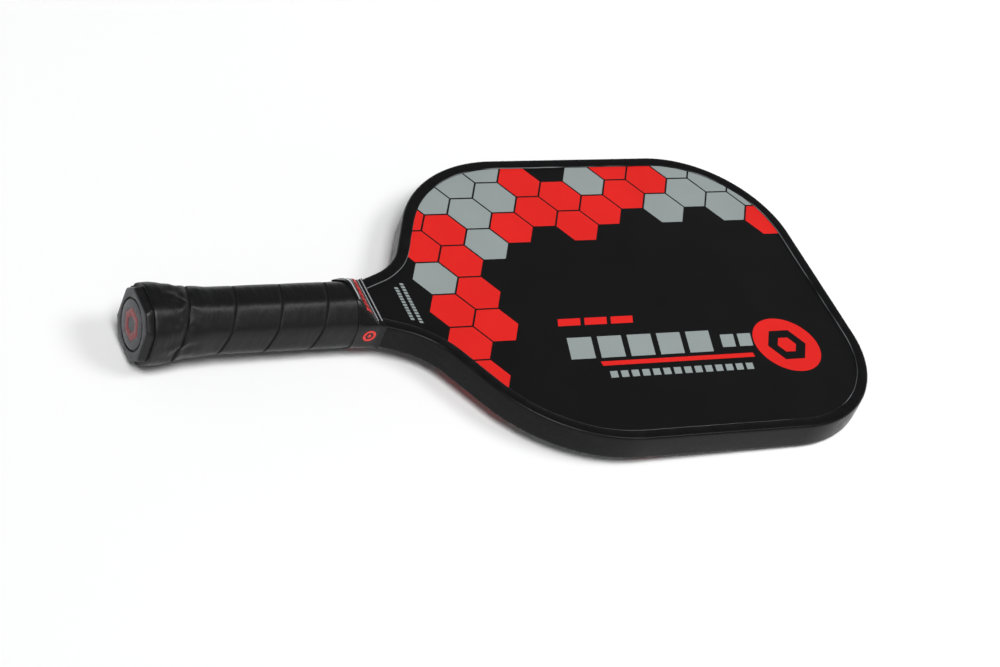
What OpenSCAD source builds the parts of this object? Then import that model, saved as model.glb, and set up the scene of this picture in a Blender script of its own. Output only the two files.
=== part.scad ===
// Pickleball paddle with a honeycomb core, an edge guard and a wrapped octagonal handle.
// +X runs from the butt to the tip, +Z comes out of the front face, and the origin is the
// middle of the paddle, on the handle's centre line.

/* [Overall] */
// Length from the butt to the tip
paddle_l = 400; // [390:1:420]
// Width of the blade across the edge guard
blade_w = 205; // [195:1:215]

/* [Blade outline] */
// Radius of the two corners at the tip
tip_r = 63.5; // [55:0.5:80]
// Radius of the two shoulders
shoulder_r = 80.5; // [70:0.5:90]
// Distance from the tip to the middle of the shoulder radius
shoulder_back = 160.8; // [158:0.1:164]
// Angle between the slanted flank and the centre line
flank_angle = 61.3; // [60:0.1:62.5]
// Length of the straight flank between the shoulder and the neck
flank_l = 25; // [23:0.5:26]
// Radius of the hollow curve at the neck
neck_r = 40; // [37:1:42]
// Angle of the straight taper that joins the hollow curve to the handle
taper_angle = 22; // [20:1:24]
// Length of that taper, up to the ends of the guard
taper_l = 12.4; // [11:0.2:13]

/* [Blade layers] */
// Thickness of the honeycomb core
core_t = 11.5; // [10:0.5:12]
// Thickness of each face sheet
sheet_t = 0.5; // [0.4:0.1:1]
// Thickness of each printed film
film_t = 0.2; // [0.2:0.05:0.4]
// Depth of the coloured print in the film
ink_t = 0.1; // [0.05:0.01:0.15]
// Honeycomb cell, across its flats
cell_w = 10; // [8:0.5:14]
// Thickness of the walls between the cells
cell_wall = 0.8; // [0.6:0.1:1.5]

/* [Edge guard] */
// Thickness of the guard's outer wall
guard_wall = 1.2; // [0.8:0.1:2]
// Thickness of the two lips that lap over the faces
lip_t = 0.8; // [0.5:0.1:1.2]
// Width of each lip, from the outer wall's outside
lip_w = 6.4; // [4:0.2:8]
// Thickness of the adhesive between the core's rim and the guard
glue_t = 0.4; // [0.2:0.1:0.8]

/* [Printed pattern] */
// Hexagon pitch, across its flats
hex_w = 23.25; // [18:0.25:28]
// Black line between neighbouring hexagons
hex_gap = 1.0; // [0.3:0.1:2]
// Place of the hexagon that the pattern is counted from, along the paddle
hex_x = 9.25; // [0:0.25:20]
// Place of the hexagon that the pattern is counted from, across the paddle
hex_y = 62.5; // [55:0.5:70]

/* [Handle] */
// Handle core across its flats, under the grip
handle_w = 28.6; // [27:0.2:30]
// Thickness of the cushion strip
cushion_t = 1.2; // [0.8:0.1:1.4]
// Thickness of the grip wrap
wrap_t = 0.8; // [0.6:0.1:1]
// Thickness of the adhesive strip under the cushion
grip_glue_t = 0.15; // [0.1:0.05:0.2]
// Width of the butt cap's end face, across its flats
butt_w = 31.5; // [30:0.5:33]
// Width of the wrapped flare at the butt, across its flats
flare_w = 38.5; // [37:0.5:42]
// Distance of the grip's start from the butt
grip_start = 4; // [3:0.5:6]
// Distance from the butt to the grip's end at the neck
grip_end = 114; // [112:0.5:115]
// Radius of the disc set in the butt cap
disc_r = 12.2; // [10:0.1:13]

/* [Hidden] */
// Facets of round parts, and the degrees between points on the outline's arcs
$fn = 64;
arc_step = 2.5;
// How far a cutter runs past the neck, where the guard is open
open_past = 3;
// Ends of the paddle, and places along the outline
tip_x = paddle_l / 2;
butt_x = -paddle_l / 2;
half_w = blade_w / 2;
flank_dir = [cos(flank_angle), sin(flank_angle)];
flank_out = [-sin(flank_angle), cos(flank_angle)];
shoulder_c = [tip_x - shoulder_back, half_w - shoulder_r];
tip_c = [tip_x - tip_r, half_w - tip_r];
flank_start = shoulder_c + shoulder_r * flank_out;
flank_end = flank_start - flank_l * flank_dir;
neck_c = flank_end + neck_r * flank_out;
taper_dir = [cos(taper_angle), sin(taper_angle)];
taper_out = [-sin(taper_angle), cos(taper_angle)];
taper_start = neck_c - neck_r * taper_out;
neck_end = taper_start - taper_l * taper_dir;
// Heights of the layers above the middle of the blade
core_z = core_t / 2;
sheet_z = core_z + sheet_t;
film_z = sheet_z + film_t;
guard_z = film_z + lip_t;
// How far the core's rim stands inside the guard's outside
rim_inset = guard_wall + glue_t;
// Side length of a hexagon in the pattern
hex_side = hex_w / sqrt(3);
// Hexagons as [column towards the tip, half row towards the near side]
red_hexagons = [[-2, 0], [-2, 2], [-2, 6], [-2, 8], [-2, 10], [-1, 1], [-1, 3], [-1, 5], [-1, 7],
                [1, 1], [2, 0], [2, -2], [3, 1], [3, -1], [4, 0], [5, -1], [5, -3], [6, -2], [9, 1]];
grey_hexagons = [[-2, 4], [-1, -1], [0, 0], [0, 2], [0, -2], [1, -1], [1, -3], [4, -2], [6, 0],
                 [7, -1], [7, -3], [8, 0], [8, -2], [9, -1]];
// Round badge on the face
badge_c = [154, -43.8];
badge_r = 19.4;
// The handle's own radius, and how far the grip's layers stand on it
handle_r = handle_w / 2;
grip_t = grip_glue_t + cushion_t + wrap_t;
flare_r = flare_w / 2;
// Places along the handle: the end of the core, the cap's flare and skirt, and the grip's ends
cap_wall = 3;
// How much further out the cap's slanted flats stand than on a regular octagon
butt_square = 1.11;
flare_square = 1.04;
// Distance of the adhesive's start from the grip's
glue_back = 1;
pallet_x = butt_x + cap_wall;
grip_x = butt_x + grip_start;
flare_x = butt_x + 10.5;
flare_end = butt_x + 24;
cap_end = butt_x + 32;
grip_end_x = butt_x + grip_end;
// Thickness of the cap's skirt, the disc and the staples' wire
skirt_t = 0.7;
disc_t = 1.2;
wire = 0.7;
// The finishing tape: its thickness, and how far it laps over the guard's ends and the grip
tape_t = 0.3;
tape_lap = 2.6;
tape_x = grip_end_x - 1.5;
tape_end_x = neck_end.x + tape_lap;
// Where the tape and the pallets come down to the blade's faces
ramp_end_x = neck_end.x - 1;
// Clear radius over the corners of the guard's ends
neck_corner_r = (neck_end.y + guard_z) / sqrt(2) + 0.05;
// How much wider the guard is where the tape ends
tape_spread = tape_lap * tan(taper_angle) + 0.05;
// How far the silver lines reach towards the near side
line_reach = 12.5;

// ---- Shapes that several pieces share ----

// Points on an arc about c, from angle a to angle b
function arc(c, r, a, b) =
  let (n = ceil(abs(b - a) / arc_step))
  [for (i = [0:n]) c + r * [cos(a + (b - a) * i / n), sin(a + (b - a) * i / n)]];

// Half of the blade's outline from the tip to the neck, moved inwards, and run on past the neck
function half_outline(inset, past = 0) =
  concat(arc(tip_c, tip_r - inset, 0, 90),
         arc(shoulder_c, shoulder_r - inset, 90, 90 + flank_angle),
         arc(neck_c, neck_r + inset, flank_angle - 90, taper_angle - 90),
         [neck_end - inset * taper_out - past * taper_dir]);

function mirrored(points) = [for (i = [len(points) - 1:-1:0]) [points[i].x, -points[i].y]];

module both_sides(points) {
  polygon(concat(points, mirrored(points)));
}

module blade_2d(inset) {
  both_sides(half_outline(inset));
}

// The core and the sheets run on past the neck as the handle's tang
module body_2d(inset) {
  both_sides(concat(half_outline(inset), [[grip_end_x, handle_r], [pallet_x, handle_r]]));
}

module plate(z, t) {
  translate([0, 0, z]) linear_extrude(t) children();
}

// The back carries the same print as the front, seen from its own side
module on_back() {
  rotate([180, 0, 0]) children();
}

// A slab whose half thickness follows [x, r] points, turned about the handle's centre line
module slab(profile, turn) {
  rotate([turn, 0, 0]) linear_extrude(2 * blade_w, center = true) both_sides(profile);
}

// Octagonal shaft: flat top and bottom, flat sides, and chamfers between them
module shaft(top, side, chamfer) {
  intersection() {
    slab(side, 0);
    slab(top, 90);
    slab(chamfer, 45);
    slab(chamfer, 135);
  }
}

module octagon_shaft(profile) {
  shaft(profile, profile, profile);
}

// An octagonal shaft whose first three places are squarer than a regular octagon
module squared_shaft(profile, squares) {
  shaft(profile, profile,
        [for (i = [0:len(profile) - 1]) i < len(squares) ? [profile[i].x, profile[i].y * squares[i]] : profile[i]]);
}

// ---- Blade ----

// Cell centres fill the blade row by row, and only whole cells are cut
module cells_2d() {
  pitch = cell_w;
  row_h = pitch * sqrt(3) / 2;
  rows = floor((half_w - rim_inset - pitch) / row_h);
  for (r = [-rows:rows]) {
    shift = (abs(r) % 2) * pitch / 2;
    y = r * row_h;
    first = ceil((rim_x(abs(y)) + pitch - shift) / pitch);
    last = floor((tip_rim_x(abs(y)) - pitch - shift) / pitch);
    for (c = [first:last])
      translate([c * pitch + shift, y]) rotate(30) circle(d = (cell_w - cell_wall) * 2 / sqrt(3), $fn = 6);
  }
}

// Where the core's rim crosses a line at height y, on the neck side
function rim_x(y) =
  y < taper_start.y ? taper_start.x :
  y < flank_end.y ? neck_c.x + sqrt(pow(neck_r + rim_inset, 2) - pow(neck_c.y - y, 2)) :
  y < flank_start.y ? flank_end.x + rim_inset + (y - flank_end.y) / tan(flank_angle) :
  shoulder_c.x - sqrt(max(0, pow(shoulder_r - rim_inset, 2) - pow(y - shoulder_c.y, 2)));

// Where the core's rim crosses a line at height y, on the tip side
function tip_rim_x(y) =
  y < tip_c.y ? tip_x - rim_inset :
  tip_c.x + sqrt(max(0, pow(tip_r - rim_inset, 2) - pow(y - tip_c.y, 2)));

module honeycomb_core() {
  color("whitesmoke") plate(-core_z, core_t) difference() {
    body_2d(rim_inset);
    cells_2d();
  }
}

module face_sheet() {
  plate(core_z, sheet_t) body_2d(rim_inset);
}

module front_face_sheet() {
  color("dimgray") face_sheet();
}

module back_face_sheet() {
  color("dimgray") on_back() face_sheet();
}

// ---- Printed film ----

module hexagons_2d(places) {
  intersection() {
    blade_2d(rim_inset + ink_t);
    union() {
      for (p = places)
        translate([hex_x + p.x * 1.5 * hex_side, hex_y - p.y * hex_w / 2])
          circle(d = (hex_w - hex_gap) * 2 / sqrt(3), $fn = 6);
    }
  }
}

// A row of slanted bars between two places, with a gap after each
module bars_2d(from, length, height, count, gap, slant) {
  step = (length + gap) / count;
  for (i = [0:count - 1])
    translate(from + [i * step, 0])
      polygon([[0, 0], [step - gap, 0], [step - gap + slant, height], [slant, height]]);
}

module red_marks_2d() {
  bars_2d([24, -22], 45, 5, 3, 2.5, 2);
  translate([37, -51]) square([93, 3]);
  difference() {
    translate(badge_c) circle(r = badge_r);
    translate(badge_c) circle(r = badge_r * 0.62, $fn = 6);
  }
  translate(badge_c) circle(r = badge_r * 0.3, $fn = 6);
}

module grey_marks_2d() {
  bars_2d([21, -45.5], 86, 15, 5, 3.5, 4);
  bars_2d([114, -43], 19, 9, 2, 2.5, 2.5);
  bars_2d([38, -59.5], 87, 4.5, 14, 2, 1);
  rotate(90) bars_2d([-15, 50.6], 28.3, 2, 14, 0.6, 0.3);
  rotate(90) bars_2d([-12.6, 54.6], 23.3, 2, 12, 0.6, 0.3);
}

module film() {
  difference() {
    plate(sheet_z, film_t) blade_2d(rim_inset);
    plate(film_z - ink_t, film_t) hexagons_2d(red_hexagons);
    plate(film_z - ink_t, film_t) hexagons_2d(grey_hexagons);
    plate(film_z - ink_t, film_t) red_marks_2d();
    plate(film_z - ink_t, film_t) grey_marks_2d();
  }
}

module front_film() {
  color("black") film();
}

module back_film() {
  color("black") on_back() film();
}

module front_red_hexagons() {
  color("red") plate(film_z - ink_t, ink_t) hexagons_2d(red_hexagons);
}

module back_red_hexagons() {
  color("red") on_back() plate(film_z - ink_t, ink_t) hexagons_2d(red_hexagons);
}

module front_grey_hexagons() {
  color("darkgray") plate(film_z - ink_t, ink_t) hexagons_2d(grey_hexagons);
}

module back_grey_hexagons() {
  color("darkgray") on_back() plate(film_z - ink_t, ink_t) hexagons_2d(grey_hexagons);
}

module front_red_marks() {
  color("red") plate(film_z - ink_t, ink_t) red_marks_2d();
}

module back_red_marks() {
  color("red") on_back() plate(film_z - ink_t, ink_t) red_marks_2d();
}

module front_grey_marks() {
  color("darkgray") plate(film_z - ink_t, ink_t) grey_marks_2d();
}

module back_grey_marks() {
  color("darkgray") on_back() plate(film_z - ink_t, ink_t) grey_marks_2d();
}

// ---- Edge guard ----

// A band that follows the blade's edge between two insets and stays open at the neck
module rim_2d(outer, inner) {
  difference() {
    blade_2d(outer);
    both_sides(half_outline(inner, open_past));
  }
}

// A channel: the outer wall, with a lip lapped over each face
module edge_guard() {
  color("black") difference() {
    plate(-guard_z, 2 * guard_z) rim_2d(0, lip_w);
    plate(-film_z, 2 * film_z) both_sides(half_outline(guard_wall, open_past));
  }
}

module guard_adhesive() {
  color("khaki") plate(-core_z, core_t) rim_2d(guard_wall, rim_inset);
}

// ---- Handle ----

// The pallets fill out the tang to an octagon and ramp down to the face at the neck
module handle_form() {
  shaft([[pallet_x, handle_r], [grip_end_x, handle_r], [ramp_end_x, film_z]],
        [[pallet_x, handle_r], [ramp_end_x, handle_r]],
        [[pallet_x, handle_r], [grip_end_x, handle_r], [ramp_end_x, handle_r + film_z / 4]]);
}

module pallet() {
  difference() {
    handle_form();
    translate([butt_x, -handle_w, sheet_z - 2 * handle_w]) cube([paddle_l / 2, 2 * handle_w, 2 * handle_w]);
    cap_staple_set();
  }
}

module front_handle_pallet() {
  color("tan") pallet();
}

module back_handle_pallet() {
  color("tan") on_back() pallet();
}

// The cap's outside: end face, bevel, flare, and a skirt that tapers out
function cap_profile() =
  [[butt_x, butt_w / 2], [grip_x - 1, flare_r - grip_t], [flare_x, flare_r - grip_t],
   [flare_end, handle_r + skirt_t], [cap_end, handle_r + skirt_t]];

module butt_cap() {
  color("black") difference() {
    squared_shaft(cap_profile(), [butt_square, flare_square, flare_square]);
    octagon_shaft([[pallet_x, handle_r], [cap_end + 1, handle_r]]);
    translate([butt_x - 1, 0, 0]) rotate([0, 90, 0]) cylinder(r = disc_r + 1, h = disc_t + 1);
    cap_staple_set();
    grip_staple_set();
  }
}

module cap_disc() {
  color("dimgray") translate([butt_x, 0, 0]) rotate([0, 90, 0]) difference() {
    cylinder(r = disc_r, h = disc_t);
    cylinder(r = disc_r * 0.7, h = 2 * ink_t, $fn = 6, center = true);
  }
}

module cap_emblem() {
  color("firebrick") translate([butt_x, 0, 0]) rotate([0, 90, 0]) difference() {
    cylinder(r = disc_r * 0.7, h = ink_t, $fn = 6);
    cylinder(r = disc_r * 0.35, h = 3 * ink_t, $fn = 6, center = true);
  }
}

// A staple that stands on z = 0, its crown along Y and its legs downwards
module staple(span, leg) {
  translate([-wire / 2, -span / 2, -wire / 2]) cube([wire, span, wire / 2]);
  for (side = [-1, 1])
    translate([-wire / 2, side * (span - wire) / 2 - wire / 2, -leg]) cube([wire, wire, leg]);
}

// Staples through the skirt, front and back, with their crowns let into it
module cap_staple_set() {
  for (turn = [0, 180])
    rotate([turn, 0, 0]) translate([cap_end - 2, 0, handle_r + skirt_t]) staple(8, 4);
}

// The staple through the cushion at the butt, on the near side
module grip_staple_set() {
  rotate([90, 0, 0]) translate([cap_end - 2, 0, handle_r + skirt_t + grip_glue_t + cushion_t])
    staple(6, 4);
}

module cap_staples() {
  color("silver") cap_staple_set();
}

module grip_staple() {
  color("silver") grip_staple_set();
}

// The surface under the grip, moved out: the cap's flare and skirt, then the pallets
function grip_profile(grow) =
  [[grip_x, flare_r - grip_t + grow], [flare_x, flare_r - grip_t + grow],
   [flare_end, handle_r + skirt_t + grow], [cap_end + 1, handle_r + skirt_t + grow],
   [cap_end + 5, handle_r + grow], [grip_end_x, handle_r + grow]];

module grip_layer(inner, outer) {
  difference() {
    squared_shaft(grip_profile(outer), [flare_square, flare_square]);
    squared_shaft(concat([[grip_x - 1, flare_r - grip_t + inner]], grip_profile(inner),
                         [[grip_end_x + 1, handle_r + inner]]),
                  [flare_square, flare_square, flare_square]);
  }
}

module grip_adhesive() {
  color("khaki") difference() {
    grip_layer(0, grip_glue_t);
    translate([grip_x - 1, -half_w, -half_w]) cube([1 + glue_back, blade_w, blade_w]);
    grip_staple_set();
  }
}

module grip_cushion() {
  color("dimgray") difference() {
    grip_layer(grip_glue_t, grip_glue_t + cushion_t);
    grip_staple_set();
  }
}

module grip_wrap() {
  color("black") grip_layer(grip_glue_t + cushion_t, grip_t);
}

// ---- Finishing tape ----

// The tape lies on the end of the grip, drops to the faces and closes on the guard's ends
module tape_form(grow, past = 0) {
  wrap_r = handle_r + grip_t + grow;
  shaft([[tape_x - past, wrap_r], [grip_end_x, wrap_r],
         [ramp_end_x, guard_z + grow], [tape_end_x + past, guard_z + grow]],
        [[tape_x - past, wrap_r], [grip_end_x, wrap_r],
         [neck_end.x, neck_end.y + 0.05 + grow], [tape_end_x + past, neck_end.y + tape_spread + grow]],
        [[tape_x - past, wrap_r], [grip_end_x, wrap_r],
         [neck_end.x, neck_corner_r + grow], [tape_end_x + past, neck_corner_r + tape_spread + grow]]);
}

module finishing_tape() {
  color("black") difference() {
    tape_form(tape_t);
    tape_form(0, 1);
  }
}

// Thin print on the tape's outside, where the children reach it
module tape_print() {
  intersection() {
    difference() {
      tape_form(tape_t + ink_t);
      tape_form(tape_t, 1);
    }
    children();
  }
}

// A strip across the front of the tape that starts at x
module across_front(x, w) {
  translate([x, -line_reach, 0]) cube([w, line_reach + half_w, half_w]);
}

module front_lines() {
  across_front(tape_x + 1.2, 0.8);
  across_front(tape_x + 2.8, 0.5);
  across_front(tape_end_x - 3.4, 0.7);
  across_front(tape_end_x - 1.4, 0.7);
}

module tape_silver_lines() {
  color("silver") tape_print() {
    front_lines();
    on_back() front_lines();
  }
}

module front_tape_bars() {
  for (i = [0:6])
    translate([grip_end_x + 3.4, -12 + i * 3.9, 0]) cube([4.4, 2.7, half_w]);
}

// Round badge on the near and far sides of the tape
module tape_badge() {
  translate([grip_end_x + 6.2, 0, 1]) rotate([90, 0, 0]) difference() {
    cylinder(r = 3.5, h = half_w);
    cylinder(r = 2.4, h = half_w, $fn = 6);
  }
}

module tape_red_marks() {
  color("red") tape_print() {
    front_tape_bars();
    on_back() front_tape_bars();
    tape_badge();
    on_back() tape_badge();
  }
}

honeycomb_core();
front_face_sheet();
back_face_sheet();
front_film();
back_film();
front_red_hexagons();
back_red_hexagons();
front_grey_hexagons();
back_grey_hexagons();
front_red_marks();
back_red_marks();
front_grey_marks();
back_grey_marks();
edge_guard();
guard_adhesive();
front_handle_pallet();
back_handle_pallet();
butt_cap();
cap_disc();
cap_emblem();
cap_staples();
grip_adhesive();
grip_cushion();
grip_wrap();
grip_staple();
finishing_tape();
tape_silver_lines();
tape_red_marks();
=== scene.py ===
"""The look of a wrapped-handle pickleball paddle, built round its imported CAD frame."""

import math

import bmesh
import bpy
import numpy as np
from mathutils import Matrix, Vector


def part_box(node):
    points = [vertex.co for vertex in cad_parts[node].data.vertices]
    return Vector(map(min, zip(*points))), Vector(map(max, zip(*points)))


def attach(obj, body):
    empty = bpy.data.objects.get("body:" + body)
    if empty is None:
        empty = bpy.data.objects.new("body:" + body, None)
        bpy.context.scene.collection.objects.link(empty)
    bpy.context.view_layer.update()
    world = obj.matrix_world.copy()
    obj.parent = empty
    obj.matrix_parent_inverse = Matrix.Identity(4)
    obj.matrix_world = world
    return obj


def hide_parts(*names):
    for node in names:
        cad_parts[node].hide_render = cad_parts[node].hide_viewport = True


bl_info = {
    "name": "Pickleball paddle",
    "version": (1, 0, 0),
    "blender": (4, 5, 0),
    "location": "3D View > Sidebar > Paddle",
    "description": "Dresses a paddle's frame with its guard, grip, tape, cap and finishes",
    "category": "Object",
}

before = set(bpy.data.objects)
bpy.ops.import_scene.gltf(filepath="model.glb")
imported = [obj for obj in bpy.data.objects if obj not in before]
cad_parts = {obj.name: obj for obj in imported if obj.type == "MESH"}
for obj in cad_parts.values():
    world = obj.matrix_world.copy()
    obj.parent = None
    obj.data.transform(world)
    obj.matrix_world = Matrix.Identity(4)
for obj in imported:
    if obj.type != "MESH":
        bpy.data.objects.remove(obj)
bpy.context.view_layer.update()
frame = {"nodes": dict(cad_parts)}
MM = 0.001
TAU = 2 * math.pi

# Places that every piece is built from, in metres
TIP_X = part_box("edge_guard")[1].x
HALF_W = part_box("edge_guard")[1].y
GUARD_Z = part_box("edge_guard")[1].z
FILM_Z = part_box("front_film")[1].z
BUTT_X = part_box("butt_cap")[0].x
CAP_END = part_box("butt_cap")[1].x
GRIP_X, GRIP_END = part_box("grip_wrap")[0].x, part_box("grip_wrap")[1].x
FLARE_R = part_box("grip_wrap")[1].z
CORE_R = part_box("front_handle_pallet")[1].z
TAPE_X, TAPE_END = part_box("finishing_tape")[0].x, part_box("finishing_tape")[1].x
HALF_NECK = 16.2 * MM  # half the neck's width where the tape closes on it
NECK_TAPER = 22.0  # degrees between the blade's outline at the neck and the handle
BUILD_UP = 2.15 * MM  # cushion and skin together
WRAP_R = CORE_R + BUILD_UP
FLARE_TOP, FLARE_FOOT = BUTT_X + 10.5 * MM, BUTT_X + 24 * MM
FLARE_SLANT = 1.04  # how much further out the flare's slanted flats stand than the others
SKIVE = 1.3 * MM  # width of the band where the strip's ends roll over
WELD = 1e-7  # points closer than this become one


def to_linear(code):
    """A colour's linear values from its sRGB hex code."""
    parts = [int(code[i : i + 2], 16) / 255 for i in (1, 3, 5)]
    return tuple(c / 12.92 if c <= 0.04045 else ((c + 0.055) / 1.055) ** 2.4 for c in parts)


def colour(name, code, about):
    return bpy.props.FloatVectorProperty(
        name=name, subtype="COLOR", size=3, min=0, max=1, default=to_linear(code), description=about
    )


def length(name, default, about, low=0.0, high=0.2):
    return bpy.props.FloatProperty(
        name=name, unit="LENGTH", default=default, min=low, max=high, precision=5, description=about
    )


def amount(name, default, about, low=0.0, high=1000.0):
    return bpy.props.FloatProperty(name=name, default=default, min=low, max=high, description=about)


# ---- Sizes and colours that a user would change ----


class PADDLE_PG_face(bpy.types.PropertyGroup):
    film: colour("Film", "#0D0D0E", "Black of the printed film")
    red: colour("Red ink", "#DE2420", "Red of the hexagons and the bars")
    grey: colour("Grey ink", "#929B9A", "Grey of the hexagons and the bars")


class PADDLE_PG_guard(bpy.types.PropertyGroup):
    plastic: colour("Plastic", "#101011", "Black of the edge guard")
    # A pale grey painted along the lips' inner edges as a highlight line
    trimmed: colour("Trimmed lip", "#8B8D8F", "Grey of the lips' trimmed edges")
    tip_radius: length("Tip radius", 0.0635, "Radius of the two corners at the tip")
    shoulder_radius: length("Shoulder radius", 0.0805, "Radius of the two shoulders")
    shoulder_back: length("Shoulder place", 0.1608, "Distance from the tip to the middle of the shoulder")
    neck_radius: length("Neck radius", 0.04, "Radius of the hollow curve at the neck")
    flank_length: length("Flank length", 0.025, "Length of the straight flank")
    taper_length: length("Taper length", 0.0124, "Length of the straight taper at the neck")
    lip_width: length("Lip width", 0.0064, "How far each lip laps over the face")
    wall: length("Wall", 0.0012, "Thickness of the outer wall")
    edge_round: length("Edge rounding", 0.0013, "Radius of the outer edges", high=0.003)
    flank_angle: amount("Flank angle", 61.3, "Degrees between the flank and the handle", high=90)
    taper_angle: amount("Taper angle", NECK_TAPER, "Degrees between the taper and the handle", high=90)


class PADDLE_PG_grip(bpy.types.PropertyGroup):
    skin: colour("Skin", "#0F0F10", "Black of the grip's outer skin")
    skin_thickness: length("Skin thickness", 0.00075, "Thickness of the skin", high=0.003)
    cushion_thickness: length("Cushion thickness", 0.0011, "Thickness of the cushion", high=0.003)
    cushion_depth: length("Cushion depth", 0.00085, "Depth of the cushion's outside", high=0.003)
    pitch: length("Pitch", 0.0246, "Distance between two turns of the strip", 0.01, 0.04)
    seam_x: length("Seam place", -0.0954, "Where a seam crosses the far side", -0.2, 0.0)
    groove_width: length("Groove width", 0.0013, "Width of the seam at its top", high=0.003)
    groove_depth: length("Groove depth", 0.0009, "Depth of the seam", high=0.002)
    crease: length("Crease height", 0.0008, "Height of the creases over the flare", high=0.002)


class PADDLE_PG_tape(bpy.types.PropertyGroup):
    vinyl: colour("Vinyl", "#111112", "Black of the finishing tape")
    foil: colour("Foil", "#D3D6D9", "Silver of the printed lines")
    red: colour("Red print", "#E3312D", "Red of the bars and the badges")
    thickness: length("Thickness", 0.0003, "Thickness of the tape", high=0.001)
    badge_radius: length("Badge radius", 0.0035, "Radius of the round badge", high=0.01)


class PADDLE_PG_cap(bpy.types.PropertyGroup):
    plastic: colour("Plastic", "#151516", "Black of the butt cap")
    # A paler grey painted on the cap's end face as a reflection
    rubbed: colour("Rubbed face", "#38393C", "Grey of the butt cap's rubbed end face")
    disc: colour("Disc", "#35363A", "Grey of the disc in the cap's end")
    emblem: colour("Emblem", "#7E1F23", "Red of the hexagon ring on the disc")
    bevel: length("Bevel", 0.0009, "Width of the bevel round the end face", high=0.003)
    disc_radius: length("Disc radius", 0.0122, "Radius of the disc", high=0.015)
    end_half: length("Half end width", 0.01575, "Half the width of the end face", high=0.02)


class PADDLE_PG_stage(bpy.types.PropertyGroup):
    floor: colour("Floor", "#FCFCFC", "Pale floor")
    key: amount("Key light", 2.28, "Strength of the broad light from above")
    box: amount("Soft box", 12.0, "Power of the soft box over the blade")
    sky: amount("Room", 0.1, "Brightness of the room overhead")
    horizon: amount("Backdrop", 0.95, "Brightness of the backdrop near the floor")
    lens: amount("Lens", 106.8, "Focal length in millimetres", 20, 300)


GROUPS = {
    "paddle_face": PADDLE_PG_face,
    "paddle_guard": PADDLE_PG_guard,
    "paddle_grip": PADDLE_PG_grip,
    "paddle_tape": PADDLE_PG_tape,
    "paddle_cap": PADDLE_PG_cap,
    "paddle_stage": PADDLE_PG_stage,
}


# ---- Materials ----


def add(tree, kind, inputs, output="", **settings):
    """Adds a node with its settings, sets or links its inputs, and gives the output that is asked for."""
    made = tree.nodes.new(kind)
    for key, value in settings.items():
        setattr(made, key, value)
    for key, value in inputs.items():
        if isinstance(value, bpy.types.NodeSocket):
            tree.links.new(value, made.inputs[key])
        else:
            made.inputs[key].default_value = value
    return made.outputs[output] if output else made


def surface(name, fill):
    """A new material whose shader gets what fill makes of the object's own coordinates."""
    material = bpy.data.materials.new(name)
    material.use_nodes = True
    tree = material.node_tree
    tree.nodes.clear()
    place = add(tree, "ShaderNodeTexCoord", {}, "Object")
    shader = add(tree, "ShaderNodeBsdfPrincipled", fill(tree, place), "BSDF")
    add(tree, "ShaderNodeOutputMaterial", {"Surface": shader})
    return material


def speckle(tree, place, size, detail=3.0, low=0.0, high=1.0, start=0.3, end=0.7, stretch=None):
    """Noise in cells of a size in millimetres, taken from one range to another.
    A stretch puts that many times the cells along each axis."""
    if stretch:
        place = add(tree, "ShaderNodeMapping", {"Vector": place, "Scale": stretch}, "Vector")
    cells = {"Vector": place, "Scale": 1 / (size * MM), "Detail": detail}
    noise = add(tree, "ShaderNodeTexNoise", cells, "Fac")
    reach = {"Value": noise, "From Min": start, "From Max": end, "To Min": low, "To Max": high}
    return add(tree, "ShaderNodeMapRange", reach, "Result")


def relief(tree, *layers):
    """Bumps on one another, each with its pattern, its real height in metres and its strength."""
    under = {}
    for pattern, height, strength in layers:
        inputs = {"Height": pattern, "Distance": height, "Strength": strength, **under}
        under = {"Normal": add(tree, "ShaderNodeBump", inputs, "Normal")}
    return under["Normal"]


def shade(tone, factor=1.0):
    """A tone as a shader takes it, made lighter, or darker where the factor is under one."""
    return (*(min(1.0, c * factor) for c in tone), 1.0)


def printed_polycarbonate(name, tone, gloss):
    """Polycarbonate film, screen printed on its underside and embossed with a fine satin texture.
    It gives the eye an even, deep colour with a soft sheen and hardly visible rub marks."""

    def fill(tree, place):
        # The texture's pits are about 0.25 mm apart, drawn at 0.5 mm so that they show
        pits = speckle(tree, place, 0.5, 2.0)
        rubs = speckle(tree, place, 18.2, 6.0, gloss - 0.04, gloss + 0.05)
        tones = {"Factor": speckle(tree, place, 45.5, 4.0), "A": shade(tone, 0.95), "B": shade(tone, 1.04)}
        return {
            "Base Color": add(tree, "ShaderNodeMix", tones, "Result", data_type="RGBA"),
            "Roughness": rubs,
            "IOR": 1.58,
            "Specular IOR Level": 0.11,
            "Normal": relief(tree, (pits, 0.01 * MM, 0.5)),
        }

    return surface(name, fill)


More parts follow.
